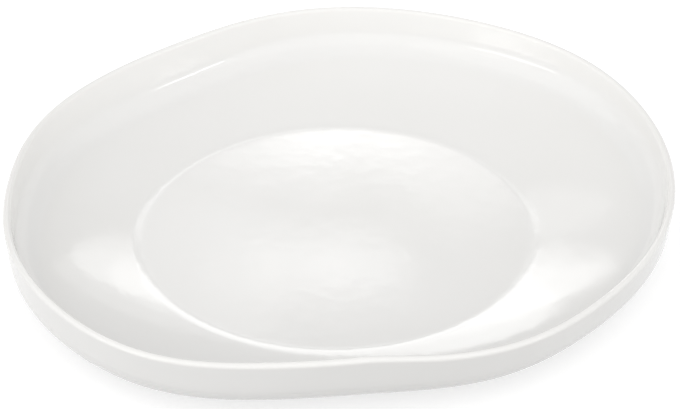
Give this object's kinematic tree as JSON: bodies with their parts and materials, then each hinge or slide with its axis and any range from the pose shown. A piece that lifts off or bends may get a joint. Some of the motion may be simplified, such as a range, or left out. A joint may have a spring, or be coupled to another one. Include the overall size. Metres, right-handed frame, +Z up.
{
  "type": "plate",
  "caption": "Deep coupe plate in white glazed porcelain with a round flat well, an upright wall, a freely curved wavy rim and a bare foot ring.",
  "frame": {"origin": "middle of the outline's bounding box, on the plane that the foot ring stands on", "axes": "+Z up out of the plate, +X to the right and +Y away from the viewer in the picture's view"},
  "size_m": [0.2732, 0.2664, 0.0371],
  "materials": {
    "bare_porcelain": "fired porcelain, matt and bare only on the ground foot ring",
    "white_glaze": "smooth white gloss glaze with a faint ripple"
  },
  "bodies": {
    "root": {"porcelain_body": "bare_porcelain", "main_glaze_coat": "white_glaze", "base_glaze_disc": "white_glaze"}
  },
  "joints": []
}
